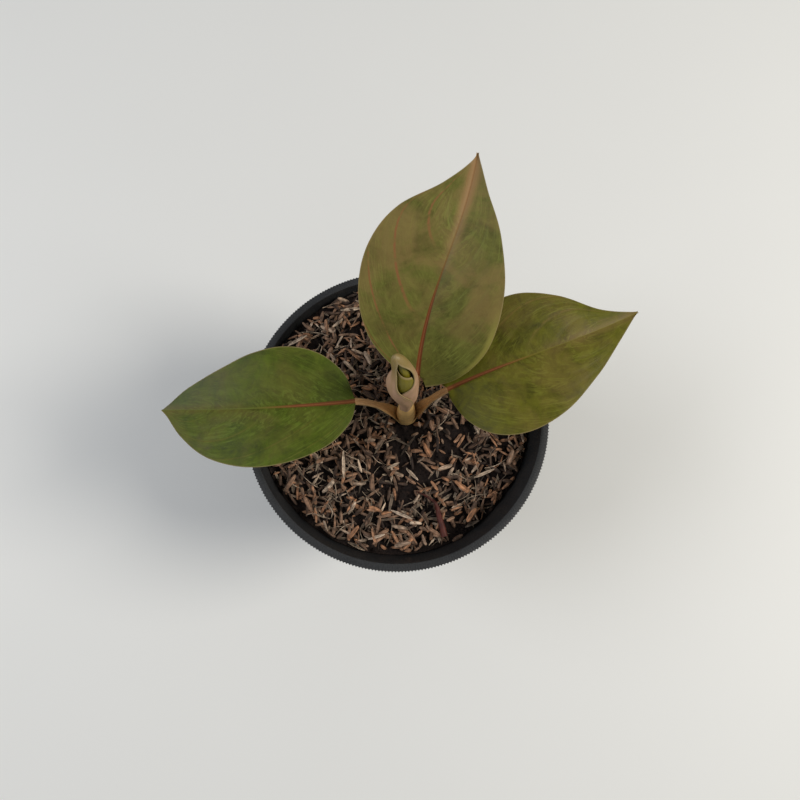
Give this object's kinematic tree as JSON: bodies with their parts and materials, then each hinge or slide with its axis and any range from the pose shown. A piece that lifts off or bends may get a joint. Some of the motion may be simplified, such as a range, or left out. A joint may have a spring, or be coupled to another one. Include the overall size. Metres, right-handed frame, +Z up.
{
  "type": "potted chinese evergreen",
  "caption": "Young aglaonema with pointed olive leaves, pink midribs and a rolled new leaf, in a round black nursery pot filled with rice husk mix.",
  "frame": {"origin": "centre of the pot's underside, on the boss in the middle of its floor", "axes": "+Z up along the pot's axis, +X towards the right leaf, +Y towards the back leaf"},
  "size_m": [0.2146, 0.1678, 0.1961],
  "materials": {
    "pot_plastic": "satin",
    "rice_husk_mix": "matte",
    "stem_skin": "satin",
    "leaf_green": "satin",
    "new_leaf_cream": "satin",
    "root_flesh": "matte",
    "withered_stalk": "matte",
    "dry_husk": "matte",
    "wood_sliver": "matte"
  },
  "bodies": {
    "root": {"fallen_leaf_stalk": "withered_stalk", "husk_1": "dry_husk", "husk_10": "dry_husk", "husk_12": "dry_husk", "husk_14": "dry_husk", "husk_15": "dry_husk", "husk_17": "dry_husk", "husk_18": "dry_husk", "husk_19": "dry_husk", "husk_2": "dry_husk", "husk_21": "dry_husk", "husk_23": "dry_husk", "husk_24": "dry_husk", "husk_25": "dry_husk", "husk_27": "dry_husk", "husk_4": "dry_husk", "husk_5": "dry_husk", "husk_6": "dry_husk", "husk_7": "dry_husk", "husk_8": "dry_husk", "leaf_back": "leaf_green", "leaf_left": "leaf_green", "leaf_right": "leaf_green", "new_leaf": "new_leaf_cream", "pot": "pot_plastic", "potting_mix": "rice_husk_mix", "root_1": "root_flesh", "root_2": "root_flesh", "root_3": "root_flesh", "root_4": "root_flesh", "root_5": "root_flesh", "sliver_11": "wood_sliver", "sliver_13": "wood_sliver", "sliver_16": "wood_sliver", "sliver_20": "wood_sliver", "sliver_22": "wood_sliver", "sliver_26": "wood_sliver", "sliver_3": "wood_sliver", "sliver_9": "wood_sliver", "stem": "stem_skin"}
  },
  "joints": []
}
